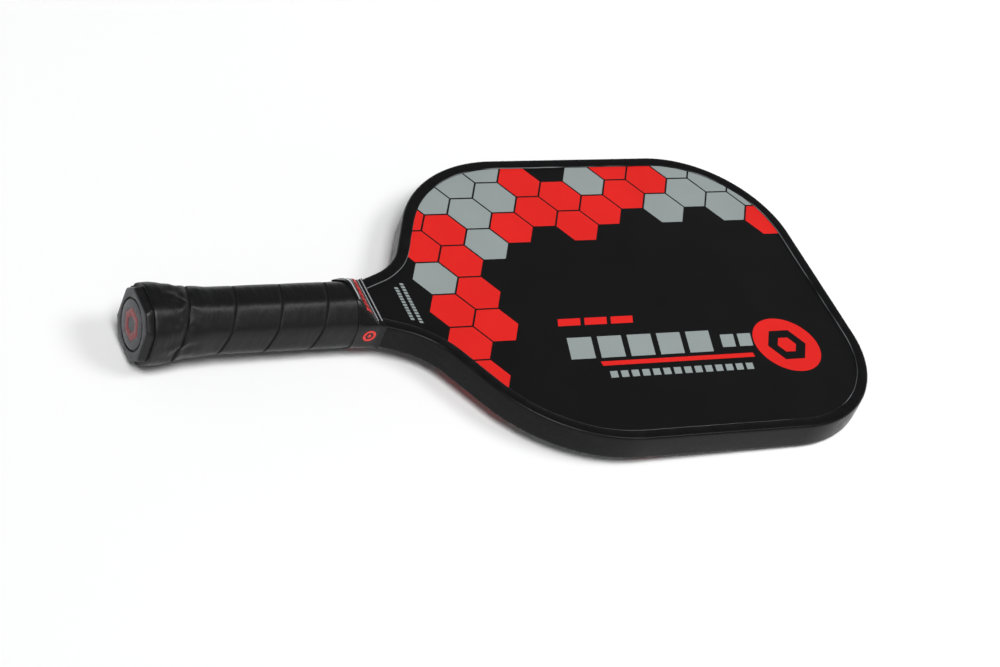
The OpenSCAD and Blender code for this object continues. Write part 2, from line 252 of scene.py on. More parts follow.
def extruded_tpu(name, tone, trimmed):
    """Thermoplastic polyurethane, extruded as a channel and bent round the blade.
    It gives the eye a satin black with faint long flow lines, a few scuffs and a painted pale highlight along
    the lips' inner edges."""

    def fill(tree, place):
        # Die lines run at right angles to the thickness, about 0.5 mm apart
        lines = speckle(tree, place, 0.455, 2.0, stretch=(0.05, 0.05, 1))
        grain = speckle(tree, place, 0.714, 3.0)
        scuffs = speckle(tree, place, 14.3, 6.0, start=0.55, end=0.75, stretch=(1, 1, 2.5))
        patches = speckle(tree, place, 35.7, 2.0, 0.0, 0.9, 0.4, 0.65)
        # A painted highlight: pale grey along the lips' inner edges, broken up by the patches
        lip = add(tree, "ShaderNodeAttribute", {}, "Fac", attribute_name="trim")
        cut = add(tree, "ShaderNodeMath", {0: lip, 1: patches}, "Value", operation="MULTIPLY")
        tones = {"Factor": scuffs, "A": shade(tone), "B": shade(tone, 1.7)}
        black = add(tree, "ShaderNodeMix", tones, "Result", data_type="RGBA")
        tones = {"Factor": cut, "A": black, "B": shade(trimmed)}
        return {
            "Base Color": add(tree, "ShaderNodeMix", tones, "Result", data_type="RGBA"),
            "Roughness": speckle(tree, place, 6.25, 4.0, 0.24, 0.36),
            "IOR": 1.5,
            "Specular IOR Level": 0.14,
            "Normal": relief(tree, (grain, 0.012 * MM, 0.6), (lines, 0.01 * MM, 0.4)),
        }

    return surface(name, fill)


def coated_polyurethane(name, tone):
    """Polyurethane coated non-woven, embossed with a shallow leather grain.
    It gives the eye a soft black with broad highlights, and a slight polish where a hand rubs it."""

    def fill(tree, place):
        # Grain cells of a leather emboss are 0.5 to 0.8 mm wide, drawn at 0.9 mm so that they show
        # A coarser noise bends them by up to 0.6 mm, so that they don't look cut
        coarse = {"Vector": place, "Scale": 1 / (2.0 * MM), "Detail": 2.0}
        warp = add(tree, "ShaderNodeTexNoise", coarse, "Color")
        bend = {"Factor": 0.6 * MM, "A": place, "B": warp}
        bent = add(tree, "ShaderNodeMix", bend, "Result", data_type="VECTOR")
        cells = {"Vector": bent, "Scale": 1 / (0.909 * MM)}
        grain = add(tree, "ShaderNodeTexVoronoi", cells, "Distance", feature="DISTANCE_TO_EDGE")
        pores = speckle(tree, place, 0.333, 2.0)
        # Winding pulls fine wrinkles across the strip, which run round the handle
        folds = speckle(tree, place, 7.69, 4.0, stretch=(2.2, 0.7, 0.7))
        hand = speckle(tree, place, 22.2, 5.0, 0.0, 0.4, 0.45, 0.75)
        rubbed = add(tree, "ShaderNodeAttribute", {}, "Fac", attribute_name="wear")
        part = {0: rubbed, 1: 0.6, 2: hand}
        worn = add(tree, "ShaderNodeMath", part, "Value", operation="MULTIPLY_ADD", use_clamp=True)
        tones = {"Factor": worn, "A": shade(tone, 0.85), "B": shade(tone, 2.0)}
        # A hand never reaches into the seams, which stay matt
        polish = {"Value": worn, "To Min": 0.42, "To Max": 0.3}
        rough = add(tree, "ShaderNodeMapRange", polish, "Result")
        seam = add(tree, "ShaderNodeAttribute", {}, "Fac", attribute_name="seam")
        part = {0: seam, 1: 0.5, 2: rough}
        matt = add(tree, "ShaderNodeMath", part, "Value", operation="MULTIPLY_ADD", use_clamp=True)
        layers = (grain, 0.05 * MM, 0.55), (folds, 0.5 * MM, 0.42), (pores, 0.01 * MM, 0.5)
        return {
            "Base Color": add(tree, "ShaderNodeMix", tones, "Result", data_type="RGBA"),
            "Roughness": matt,
            "IOR": 1.5,
            "Specular IOR Level": 0.28,
            "Normal": relief(tree, *layers),
        }

    return surface(name, fill)


def calendered_vinyl(name, tone):
    """Calendered vinyl tape with a glossy top coat, pulled tight round the handle.
    It gives the eye a sharp black gloss with a slight stretch ripple."""

    def fill(tree, place):
        ripple = speckle(tree, place, 3.85, 3.0, stretch=(0.35, 1, 1))
        tones = {"Factor": speckle(tree, place, 11.1, 4.0), "A": shade(tone), "B": shade(tone, 1.6)}
        return {
            "Base Color": add(tree, "ShaderNodeMix", tones, "Result", data_type="RGBA"),
            "Roughness": speckle(tree, place, 2.5, 3.0, 0.2, 0.3),
            "IOR": 1.53,
            "Specular IOR Level": 0.25,
            "Normal": relief(tree, (ripple, 0.1 * MM, 0.3)),
        }

    return surface(name, fill)


def hot_stamped_foil(name, tone):
    """Silver hot stamping foil, a thin aluminium layer under lacquer, so only partly metallic.
    It gives the eye a thin bright metal line that flashes along its length."""

    def fill(tree, place):
        tones = {"Factor": speckle(tree, place, 3.33, 3.0), "A": shade(tone, 0.8), "B": shade(tone)}
        return {
            "Base Color": add(tree, "ShaderNodeMix", tones, "Result", data_type="RGBA"),
            "Metallic": 0.55,
            "Roughness": speckle(tree, place, 1.43, 3.0, 0.16, 0.3),
            "Normal": relief(tree, (speckle(tree, place, 1.11, 3.0), 0.02 * MM, 0.4)),
        }

    return surface(name, fill)


def gloss_ink(name, tone):
    """Thick gloss ink, screen printed and cured.
    It gives the eye a raised, slightly wet colour with small pinholes."""

    def fill(tree, place):
        holes = speckle(tree, place, 0.556, 3.0)
        tones = {"Factor": speckle(tree, place, 2.0, 4.0), "A": shade(tone, 0.85), "B": shade(tone)}
        return {
            "Base Color": add(tree, "ShaderNodeMix", tones, "Result", data_type="RGBA"),
            "Roughness": speckle(tree, place, 1.67, 3.0, 0.24, 0.36),
            "IOR": 1.5,
            "Specular IOR Level": 0.35,
            "Normal": relief(tree, (holes, 0.01 * MM, 0.4)),
        }

    return surface(name, fill)


def moulded_abs(name, tone, rough, rubbed):
    """ABS, injection moulded with a fine spark-eroded texture.
    It gives the eye an even, slightly sparkling sheen, with a painted paler grey on the butt's end face that
    stands in for a reflection."""

    def fill(tree, place):
        # Spark erosion leaves pits 0.1 mm wide, drawn at 0.35 mm so that they show
        pits = speckle(tree, place, 0.357, 3.0)
        tones = {"Factor": speckle(tree, place, 16.7, 5.0), "A": shade(tone), "B": shade(tone, 1.35)}
        moulded = add(tree, "ShaderNodeMix", tones, "Result", data_type="RGBA")
        # The end face gets a painted paler grey, a painted reflection
        end = add(tree, "ShaderNodeAttribute", {}, "Fac", attribute_name="scuff")
        tones = {"Factor": end, "A": moulded, "B": shade(rubbed)}
        return {
            "Base Color": add(tree, "ShaderNodeMix", tones, "Result", data_type="RGBA"),
            "Roughness": speckle(tree, place, 4.17, 4.0, rough - 0.05, rough + 0.06),
            "IOR": 1.53,
            "Specular IOR Level": 0.24,
            "Normal": relief(tree, (pits, 0.015 * MM, 0.5)),
        }

    return surface(name, fill)


def plain_inner(name, code, rough, metal=0.0, size=1.67, height=0.03 * MM):
    """A finish for a piece that the outside hides: adhesive, foam, felt, laminate or steel.
    It gives the eye a plain matt or metallic tone with a little grain."""

    def fill(tree, place):
        tone = to_linear(code)
        grain = speckle(tree, place, size, 4.0)
        tones = {"Factor": grain, "A": shade(tone, 0.8), "B": shade(tone)}
        return {
            "Base Color": add(tree, "ShaderNodeMix", tones, "Result", data_type="RGBA"),
            "Metallic": metal,
            "Roughness": speckle(tree, place, size * 3, 3.0, rough - 0.06, min(1.0, rough + 0.06)),
            "Normal": relief(tree, (grain, height, 0.6)),
        }

    return surface(name, fill)


def studio_paper(name, tone):
    """Matt background paper, rolled out flat.
    It gives the eye a clean pale ground with soft shadows and no glare."""

    def fill(tree, place):
        tones = {"Factor": speckle(tree, place, 333, 3.0), "A": shade(tone, 0.985), "B": shade(tone)}
        return {
            "Base Color": add(tree, "ShaderNodeMix", tones, "Result", data_type="RGBA"),
            "Roughness": 0.9,
            "Specular IOR Level": 0.2,
            "Normal": relief(tree, (speckle(tree, place, 1.11, 2.0), 0.03 * MM, 0.2)),
        }

    return surface(name, fill)


def dress(obj, material):
    obj.data.materials.clear()
    obj.data.materials.append(material)


def mark(obj, name, values):
    """A named value on each of the piece's points, for its material to read."""
    layer = obj.data.attributes.new(name, "FLOAT", "POINT")
    layer.data.foreach_set("value", np.asarray(values, np.float32))


# ---- Mesh helpers ----


def piece(name, points, faces, material, slot, angle):
    """A new closed piece on the paddle's body, smooth except at edges sharper than the angle."""
    mesh = bpy.data.meshes.new(name)
    mesh.from_pydata([tuple(p) for p in points], [], [tuple(f) for f in faces])
    work = bmesh.new()
    work.from_mesh(mesh)
    bmesh.ops.remove_doubles(work, verts=work.verts, dist=WELD)
    bmesh.ops.dissolve_degenerate(work, edges=work.edges, dist=WELD)
    bmesh.ops.recalc_face_normals(work, faces=work.faces)
    work.to_mesh(mesh)
    work.free()
    mesh.validate()
    mesh.polygons.foreach_set("use_smooth", [True] * len(mesh.polygons))
    mesh.set_sharp_from_angle(angle=math.radians(angle))
    mesh.update()
    obj = bpy.data.objects.new(name, mesh)
    bpy.context.scene.collection.objects.link(obj)
    dress(obj, material)
    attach(obj, "root")
    return obj


def ring_faces(rows, columns, closed_rows=False):
    """Faces between rings of points, each ring closed on itself."""
    faces = []
    for i in range(rows if closed_rows else rows - 1):
        for j in range(columns):
            a, b = i * columns + j, i * columns + (j + 1) % columns
            k = (i + 1) % rows
            faces.append((a, b, k * columns + (j + 1) % columns, k * columns + j))
    return faces


def octagon(angle, top, side, corner, sharp):
    """Radius of an eight-sided section at an angle from +Y towards +Z, with rounded corners.
    top, side and corner are the distances of its flats from the handle's centre line."""
    total = (np.abs(np.cos(angle)) / side) ** sharp + (np.abs(np.sin(angle)) / top) ** sharp
    for turn in (math.pi / 4, 3 * math.pi / 4):
        total = total + (np.abs(np.cos(angle - turn)) / corner) ** sharp
    return total ** (-1 / sharp)


def six_sided(angle):
    """Radius of a hexagon whose corners are at 1."""
    return math.cos(math.pi / 6) / np.cos((angle % (math.pi / 3)) - math.pi / 6)


def on_shaft(x, angle, radius):
    return np.stack([x + 0 * angle, radius * np.cos(angle), radius * np.sin(angle)], -1)


# ---- Edge guard ----


def arc(centre, radius, start, end, count, hollow=1):
    """Points on an arc with their outward normals. hollow is -1 where the blade is outside the arc."""
    out = []
    for t in np.linspace(math.radians(start), math.radians(end), count):
        n = np.array([math.cos(t), math.sin(t)])
        out.append((centre + radius * n, hollow * n))
    return out


def outline(s):
    """The blade's whole outline from one neck end round the tip to the other, with outward normals."""

    def way(degrees):
        turn = math.radians(degrees)
        return np.array([math.cos(turn), math.sin(turn)])

    flank_dir, flank_out = way(s.flank_angle), way(s.flank_angle + 90)
    taper_dir, taper_out = way(s.taper_angle), way(s.taper_angle + 90)
    tip_c = np.array([TIP_X - s.tip_radius, HALF_W - s.tip_radius])
    shoulder_c = np.array([TIP_X - s.shoulder_back, HALF_W - s.shoulder_radius])
    flank_end = shoulder_c + s.shoulder_radius * flank_out - s.flank_length * flank_dir
    neck_c = flank_end + s.neck_radius * flank_out
    start = neck_c - s.neck_radius * taper_out
    half = [(np.array([TIP_X, y]), np.array([1.0, 0.0])) for y in np.linspace(0, tip_c[1], 10)[:-1]]
    half += arc(tip_c, s.tip_radius, 0, 90, 64)
    for x in np.linspace(tip_c[0], shoulder_c[0], 24)[1:-1]:
        half.append((np.array([x, HALF_W]), np.array([0.0, 1.0])))
    half += arc(shoulder_c, s.shoulder_radius, 90, 90 + s.flank_angle, 54)
    for t in np.linspace(0, s.flank_length, 9)[1:-1]:
        half.append((flank_end + (s.flank_length - t) * flank_dir, flank_out))
    half += arc(neck_c, s.neck_radius, s.flank_angle - 90, s.taper_angle - 90, 34, -1)
    for t in np.linspace(0, s.taper_length, 6)[1:]:
        half.append((start - t * taper_dir, taper_out))
    flip = np.array([1, -1])
    return [(p * flip, n * flip) for p, n in reversed(half[1:])] + half


def guard_profile(s):
    """The channel's section as closed points: inset from the outside, and height."""
    lip, wall, r = s.lip_width, s.wall, s.edge_round
    crown = 0.12 * MM
    top = GUARD_Z
    # In millimetres: back from the lip's edge and up from the film, then down from the guard's top
    edge = ((0, 0), (0, 0.28), (0.07, 0.42), (0.22, 0.52), (0.45, 0.56), (1.2, 0.64))
    lip_edge = [(lip - back * MM, FILM_Z + up * MM) for back, up in edge]
    run = [(lip - back * MM, top - down * MM) for back, down in ((2.2, 0.06), (3.0, 0.01))]
    corner = []
    for t in np.linspace(90, 180, 9):
        t = math.radians(t)
        corner.append((r + crown + r * math.cos(t), top - r + r * math.sin(t)))
    side = []
    for z in np.linspace(top - r, 0, 6)[1:]:
        side.append((crown * (z / (top - r)) ** 2, z))
    half = lip_edge + run + corner + side
    inner = [(wall, -FILM_Z), (wall, FILM_Z)]
    return half + [(d, -z) for d, z in reversed(half[:-1])] + inner


def build_guard(s):
    path, profile = outline(s), guard_profile(s)
    points, run = [], 0.0
    for i, (p, n) in enumerate(path):
        if i:
            run += float(np.linalg.norm(p - path[i - 1][0]))
        # A real lip isn't cut dead straight: its edge wanders by less than a tenth of a millimetre
        wander = 0.06 * MM * math.sin(run * 190) + 0.04 * MM * math.sin(run * 431 + 1)
        for d, z in profile:
            reach = d + wander * max(0.0, d - s.wall) / (s.lip_width - s.wall)
            points.append((*(p - reach * n), z))
    width = len(profile)
    faces = ring_faces(len(path), width)
    faces += [tuple(range(width)), tuple(range(len(points) - width, len(points)))]
    return points, faces


# ---- Grip ----


def along(x, table, soft=0.0015):
    """A value along the handle from a table of places and values, with its corners smoothed."""
    xs, values = zip(*table)
    shifts = np.linspace(-soft, soft, 7)
    return sum(np.interp(x + d, xs, values) for d in shifts) / len(shifts)


def wrap_table(under=0.0):
    """Half the grip's width along the handle, at the wrap's outside less a depth."""
    skirt = WRAP_R + 0.7 * MM
    table = [
        (GRIP_X, FLARE_R),
        (FLARE_TOP, FLARE_R),
        (FLARE_FOOT, skirt),
        (CAP_END + 1 * MM, skirt),
        (CAP_END + 5 * MM, WRAP_R),
        (GRIP_END, WRAP_R),
    ]
    return [(x, half - under) for x, half in table]


def bell(value, middle, width):
    return np.exp(-(((value - middle) / width) ** 2))


def angle_between(angle, other):
    return (angle - other + math.pi) % TAU - math.pi


def creases(x, angle, height):
    """Soft folds in the skin where it goes over the flare, leaning along the strip."""
    near = bell(x, BUTT_X + 19.5 * MM, 7.5 * MM)
    folds = 0.0
    # Each fold's place round the handle, its lean in radians per metre, and its share of the height
    marks = ((0.55, 40, 0.9), (1.2, -22, 0.7), (1.75, 34, 1.0), (2.35, 20, 0.6), (3.0, -16, 0.8))
    marks += ((3.7, 28, 0.8), (4.4, 12, 0.9), (5.1, -24, 0.7), (5.8, 30, 0.8))
    for turn, lean, share in marks:
        away = angle_between(angle, turn + (x - BUTT_X - 20 * MM) * lean)
        folds = folds + share * bell(away, 0, 0.11)
    ripple = np.sin(angle * 9 + x * 700) * np.sin(angle * 4 - x * 400)
    return height * near * (folds + 0.6 * ripple)


def past_seam(s, x, angle):
    """Distance past the last seam towards the blade, from 0 to the pitch."""
    return (x + s.pitch * angle / TAU - s.seam_x) % s.pitch


def skin_radius(s, x, angle, under, thickness, groove, low, high, sharp=15.0):
    """The strip's outside and inside: octagonal, swollen between seams and dipped into each seam."""
    flat = along(x, wrap_table(under))
    # Over the flare the slanted flats stand further out, as on the cap
    slant = flat * np.interp(x, [FLARE_TOP, FLARE_FOOT], [FLARE_SLANT, 1.0])
    away = past_seam(s, x, angle)
    gap = np.minimum(away, s.pitch - away)
    swell = 0.08 * MM * np.sin(math.pi * away / s.pitch) ** 0.5
    # The butt-side edge lies on top, and the next turn starts a little lower
    lap = 0.14 * MM * np.exp((away - s.pitch) / (1.2 * MM)) - 0.12 * MM * np.exp(-away / (2.5 * MM))
    cut = groove * np.clip(1 - gap / (s.groove_width / 2), 0, 1) ** 0.7
    shoulder = 0.3 * groove * np.exp(-gap / (0.8 * MM))
    # All of it lies a little deeper, which leaves room for the swelling
    room = 0.1 * MM
    outside = octagon(angle, flat, flat, slant, sharp) + swell + lap - cut - shoulder - room
    if not under:
        outside = outside + creases(x, angle, s.crease)
    # The cut edges are skived: the outside rolls over to them
    end = np.minimum(x - low, high - x)
    outside = outside - 0.5 * thickness * np.clip(1 - end / SKIVE, 0, 1) ** 2
    inside = octagon(angle, flat - thickness, flat - thickness, slant - thickness, sharp)
    if not under:
        # At its ends the skin folds down over the cushion's edge
        inside = inside - 1.2 * MM * np.clip(1 - end / (0.5 * MM), 0, 1)
    return outside, inside


def wound(s, name, thickness, under, groove, material, slot, back=0.0, columns=192):
    """A strip wound round the handle from the butt to the neck.
    Its rows follow the strip's edge, so that each seam is a clean line, and plain rings close its ends."""
    low, high = GRIP_X + back, GRIP_END - back
    # Distances from a seam where the rows lie, close together where the skin dips
    steps = np.array([0, 0.12, 0.25, 0.4, 0.55, 0.7, 1.0, 1.6, 2.6, 4.0, 6.0, 9.0]) * MM
    steps = np.append(steps[steps < s.pitch * 0.45], s.pitch / 2)
    offsets = np.unique(np.concatenate([steps, s.pitch - steps[1:]]))
    first = math.floor((low - s.seam_x) / s.pitch)
    last = math.ceil((high - s.seam_x) / s.pitch) + 1
    turns = s.seam_x + s.pitch * np.arange(first, last + 1)
    rows = np.sort((turns[:, None] + offsets[None, :]).ravel())
    angle = np.linspace(0, TAU, columns + 1)
    # The plain rings' distances from each end, close together where the edge rolls over
    roll = np.array([0, 0.08, 0.2, 0.4, 0.7, 1.0]) * MM
    A, S = np.meshgrid(angle, rows)
    X = np.clip(S - s.pitch * A / TAU, low + SKIVE, high - SKIVE)
    level = np.ones(columns + 1)[None, :]
    X = np.concatenate([(low + roll)[:, None] * level, X, (high - roll[::-1])[:, None] * level])
    A = np.tile(angle, (len(X), 1))
    outside, inside = skin_radius(s, X, A, under, thickness, groove, low, high)
    points = np.concatenate([on_shaft(X, A, r).reshape(-1, 3) for r in (outside, inside)])
    count, wide = X.shape
    shift = count * wide
    faces = []
    for i in range(count - 1):
        for j in range(columns):
            a = i * wide + j
            faces.append((a, a + 1, a + wide + 1, a + wide))
            faces.append((shift + a + wide, shift + a + wide + 1, shift + a + 1, shift + a))
    for row in (0, (count - 1) * wide):
        for j in range(row, row + columns):
            faces.append((j, j + 1, shift + j + 1, shift + j))
    obj = piece(name, points, faces, material, slot, angle=50)
    # A map of where a hand polishes the skin: beside the seams and along the octagon's edges
    mesh = obj.data
    co = np.zeros(len(mesh.vertices) * 3)
    mesh.vertices.foreach_get("co", co)
    co = co.reshape(-1, 3)
    turn = np.arctan2(co[:, 2], co[:, 1]) % TAU
    away = past_seam(s, co[:, 0], turn)
    gap = np.minimum(away, s.pitch - away)
    edge = np.abs(turn % (math.pi / 4) - math.pi / 8)
    worn = np.maximum(0.35 * bell(gap, 1.8 * MM, 0.5 * MM), 0.45 * bell(edge, 0, 0.09))
    mark(obj, "wear", worn)
    mark(obj, "seam", bell(gap, 0, 0.8 * MM))
    return obj


# ---- Finishing tape ----


def tape_radius(x, angle, lift):
    """The tape's outside: it leaves the grip as an octagon and closes on the neck as a flat oblong."""
    on_neck = 2.6 * MM
    low = TAPE_END - on_neck
    spread = on_neck * math.tan(math.radians(NECK_TAPER))
    on_grip = [(TAPE_X, WRAP_R), (GRIP_END, WRAP_R)]
    flat_z, flat_y = GUARD_Z + 0.02 * MM, HALF_NECK + 0.05 * MM
    corner = (HALF_NECK + GUARD_Z) / math.sqrt(2)
    soft = 0.6 * MM
    top = along(x, on_grip + [(low - 1 * MM, flat_z), (TAPE_END, flat_z)], soft)
    side = along(x, on_grip + [(low, flat_y), (TAPE_END, flat_y + spread)], soft)
    slant = along(x, on_grip + [(low, corner), (TAPE_END, corner + spread)], soft)
    sharp = np.interp(x, [TAPE_X, GRIP_END, low], [18.0, 20.0, 64.0])
    return octagon(angle, top + lift, side + lift, slant + lift, sharp)


def on_tape(x, angle, lift):
    """Points on the tape. Over the far corner its free edge has slipped along the grip and stands off."""
    far_corner, spread = 0.76, 0.42
    loose = bell(angle_between(angle, far_corner), 0, spread)
    back = x - TAPE_X
    slip = -4.5 * MM * loose * np.clip(1 - back / (3.5 * MM), 0, 1) ** 2
    # The edge isn't dead straight elsewhere either
    slip = slip + 0.12 * MM * np.sin(3 * angle + 0.6) * bell(back, 0, 1.5 * MM)
    curl = 0.5 + 0.5 * np.clip(back / (1.2 * MM), 0, 1)
    stand = 1.3 * MM * loose * curl * np.clip(1 - back / (11 * MM), 0, 1)
    return on_shaft(x + slip, angle, tape_radius(x, angle, lift) + stand)


def tape_patch(x, angle, thickness, closed=False):
    """A thin patch of ink or foil on the tape, from a grid of places and angles: its points and faces."""
    rows, columns = x.shape
    above, below = 0.12 * MM, 0.03 * MM
    outside = on_tape(x, angle, thickness + above).reshape(-1, 3)
    inside = on_tape(x, angle, thickness - below).reshape(-1, 3)
    shift = rows * columns
    faces = []
    for i in range(rows - 1):
        for j in range(columns - 1):
            a = i * columns + j
            faces.append((a, a + 1, a + columns + 1, a + columns))
            faces.append((shift + a + columns, shift + a + columns + 1, shift + a + 1, shift + a))
    walls = [(i * columns + j, 1) for i in (0, rows - 1) for j in range(columns - 1)]
    if not closed:
        walls += [(i * columns + j, columns) for j in (0, columns - 1) for i in range(rows - 1)]
    faces += [(a, a + step, shift + a + step, shift + a) for a, step in walls]
    return np.concatenate([outside, inside]), faces


def joined(parts):
    """One list of points and faces from several."""
    points, faces, base = [], [], 0
    for p, f in parts:
        points.append(np.asarray(p))
        faces += [tuple(i + base for i in face) for face in f]
        base += len(p)
    return np.concatenate(points), faces


def top_height(x):
    """Height of the tape's flat top above the handle's centre line."""
    return float(tape_radius(np.array([x]), np.array([math.pi / 2]), 0.0)[0])


def lines_on_tape(thickness):
    """Silver lines from the front's near part, round the far side, to the same place on the back."""
    parts = []
    # Each line's place, its width, and how far it reaches past the middle of the front
    for x, w, reach in (
        (TAPE_X + 1.2 * MM, 0.8 * MM, 6.0 * MM),
        (TAPE_X + 2.8 * MM, 0.5 * MM, 6.0 * MM),
        (TAPE_END - 3.4 * MM, 0.6 * MM, 12.5 * MM),
        (TAPE_END - 1.4 * MM, 0.7 * MM, 12.5 * MM),
    ):
        end = math.atan2(top_height(x), -reach)
        X, A = np.meshgrid([x, x + w / 2, x + w], np.linspace(-end, end, 145), indexing="ij")
        parts.append(tape_patch(X, A, thickness))
    return joined(parts)


def marks_on_tape(s):
    """Red bars across the front and the back, and a round badge on each side."""
    parts, thickness = [], s.thickness
    bars, first, step, wide, tall, lean = 7, -11 * MM, 3.75 * MM, 2.7 * MM, 4.4 * MM, 0.25
    x0, centre, rise = GRIP_END + 3.4 * MM, GRIP_END + 6.2 * MM, 1.0 * MM
    for turn in (1, -1):
        for i in range(bars):
            y0 = first + step * i
            xs = np.linspace(x0, x0 + tall, 13)
            ys = np.linspace(y0, y0 + wide, 8)
            X, Y = np.meshgrid(xs, ys, indexing="ij")
            top = tape_radius(X, np.full_like(X, math.pi / 2), thickness)
            A = np.arctan2(top, Y + lean * (X - x0))
            parts.append(tape_patch(X, A * turn, thickness))
        # The badge is a ring with a hexagon hole, and a small hexagon in the middle
        t = np.linspace(0, TAU, 49)
        hexagon = 2.4 * MM * six_sided(t)
        ring = (hexagon, np.full_like(t, s.badge_radius))
        for inner, outer in (ring, (0 * t + 0.02 * MM, 0.45 * hexagon)):
            grid = np.linspace(0, 1, 5)[:, None]
            reach = inner[None, :] + grid * (outer - inner)[None, :]
            X = centre + reach * np.cos(t)[None, :]
            Z = rise + reach * np.sin(t)[None, :]
            side = tape_radius(X, np.full_like(X, math.pi), thickness)
            A = math.pi - np.arctan2(Z, side)
            parts.append(tape_patch(X, A if turn > 0 else A + math.pi, thickness, closed=True))
    return joined(parts)


# ---- Butt cap ----


def cap_rings(s, columns):
    """The cap's rings from the middle of its recess, out over the flare, and back inside to the middle."""
    angle = np.linspace(0, TAU, columns, endpoint=False)
    rings = []

    def circle(x, r):
        rings.append(on_shaft(x, angle, np.full_like(angle, r)))

    recess, floor, soft = s.disc_radius + 1 * MM, BUTT_X + 1.2 * MM, 0.2 * MM
    circle(floor, 0.0)
    circle(floor, recess * 0.6)
    circle(floor, recess - 0.15 * MM)
    circle(floor - 0.1 * MM, recess)
    circle(BUTT_X + 0.18 * MM, recess)
    circle(BUTT_X + 0.05 * MM, recess + 0.05 * MM)
    circle(BUTT_X, recess + soft)
    # The flat end turns from the recess's circle to an octagon with small corners
    face = s.end_half - s.bevel
    end = octagon(angle, face, face, face * 1.11, 90.0)
    for share in (0.5, 1.0):
        rings.append(on_shaft(BUTT_X, angle, recess + soft + share * (end - recess - soft)))
    flare, skirt, bottom = FLARE_R - BUILD_UP, 15.0 * MM, BUTT_X + 3.0 * MM
    # Each ring's place, its half width, its corners' sharpness and how far out its slanted flats stand
    for x, r, sharp, slant in (
        (BUTT_X + 0.12 * MM, face + 0.35 * MM, 84, 1.11),
        (BUTT_X + 0.4 * MM, face + 0.7 * MM, 78, 1.11),
        (BUTT_X + 0.85 * MM, s.end_half + 0.1 * MM, 74, 1.105),
        (BUTT_X + 2.3 * MM, flare - 0.5 * MM, 66, 1.07),
        (BUTT_X + 2.7 * MM, flare - 0.22 * MM, 60, 1.05),
        (BUTT_X + 3.2 * MM, flare - 0.05 * MM, 56, FLARE_SLANT),
        (BUTT_X + 4.0 * MM, flare, 54, FLARE_SLANT),
        (FLARE_TOP, flare, 50, FLARE_SLANT),
        (FLARE_FOOT, skirt, 50, 1.0),
        (CAP_END, skirt, 50, 1.0),
        (CAP_END, CORE_R, 90, 1.0),
        (bottom + 0.1 * MM, CORE_R, 90, 1.0),
    ):
        rings.append(on_shaft(x, angle, octagon(angle, r, r, r * slant, sharp)))
    circle(bottom, CORE_R * 0.9)
    circle(bottom, 0.0)
    return np.concatenate(rings), ring_faces(len(rings), columns)


def disc_rings(s, columns):
    """The disc with a rounded rim and a shallow hexagon pocket for its emblem."""
    angle = np.linspace(0, TAU, columns, endpoint=False)
    r, thick, pocket = s.disc_radius, 1.2 * MM, 0.1 * MM
    hexagon = 0.7 * r * six_sided(angle)
    rings = [
        on_shaft(BUTT_X + pocket, angle, 0 * angle),
        on_shaft(BUTT_X + pocket, angle, hexagon),
        on_shaft(BUTT_X, angle, hexagon + 0.02 * MM),
        on_shaft(BUTT_X, angle, np.full_like(angle, r - 0.3 * MM)),
        on_shaft(BUTT_X + 0.09 * MM, angle, np.full_like(angle, r - 0.1 * MM)),
        on_shaft(BUTT_X + 0.3 * MM, angle, np.full_like(angle, r)),
        on_shaft(BUTT_X + thick, angle, np.full_like(angle, r)),
        on_shaft(BUTT_X + thick, angle, 0 * angle),
    ]
    return np.concatenate(rings), ring_faces(len(rings), columns)


def emblem_rings(s, columns):
    """A hexagon ring with softened edges that sits in the disc's pocket."""
    angle = np.linspace(0, TAU, columns, endpoint=False)
    six = six_sided(angle)
    outer, inner = 0.69 * s.disc_radius * six, 0.36 * s.disc_radius * six
    low, high, soft = BUTT_X + 0.1 * MM, BUTT_X - 0.02 * MM, 0.12 * MM
    rings = [
        on_shaft(low, angle, outer),
        on_shaft(high + 0.05 * MM, angle, outer),
        on_shaft(high, angle, outer - soft),
        on_shaft(high, angle, inner + soft),
        on_shaft(high + 0.05 * MM, angle, inner),
        on_shaft(low, angle, inner),
    ]
    return np.concatenate(rings), ring_faces(len(rings), columns, closed_rows=True)


# ---- Operators ----


class PADDLE_OT_blade(bpy.types.Operator):
    """Gives the core, the face sheets and the printed films their finishes"""

    bl_idname = "paddle.blade"
    bl_label = "Finish the blade"

    def execute(self, context):
        s, nodes = context.scene.paddle_face, frame["nodes"]
        film = printed_polycarbonate("printed polycarbonate, black", s.film, 0.42)
        red = printed_polycarbonate("printed polycarbonate, red", s.red, 0.4)
        grey = printed_polycarbonate("printed polycarbonate, grey", s.grey, 0.4)
        laminate = plain_inner("glass fibre laminate", "#3C3F3D", 0.45, size=1.11)
        for side in ("front", "back"):
            dress(nodes[side + "_film"], film)
            dress(nodes[side + "_red_hexagons"], red)
            dress(nodes[side + "_red_marks"], red)
            dress(nodes[side + "_grey_hexagons"], grey)
            dress(nodes[side + "_grey_marks"], grey)
            dress(nodes[side + "_face_sheet"], laminate)
        honeycomb = plain_inner("polypropylene honeycomb", "#D9DAD6", 0.5, size=2.5)
        dress(nodes["honeycomb_core"], honeycomb)
        return {"FINISHED"}


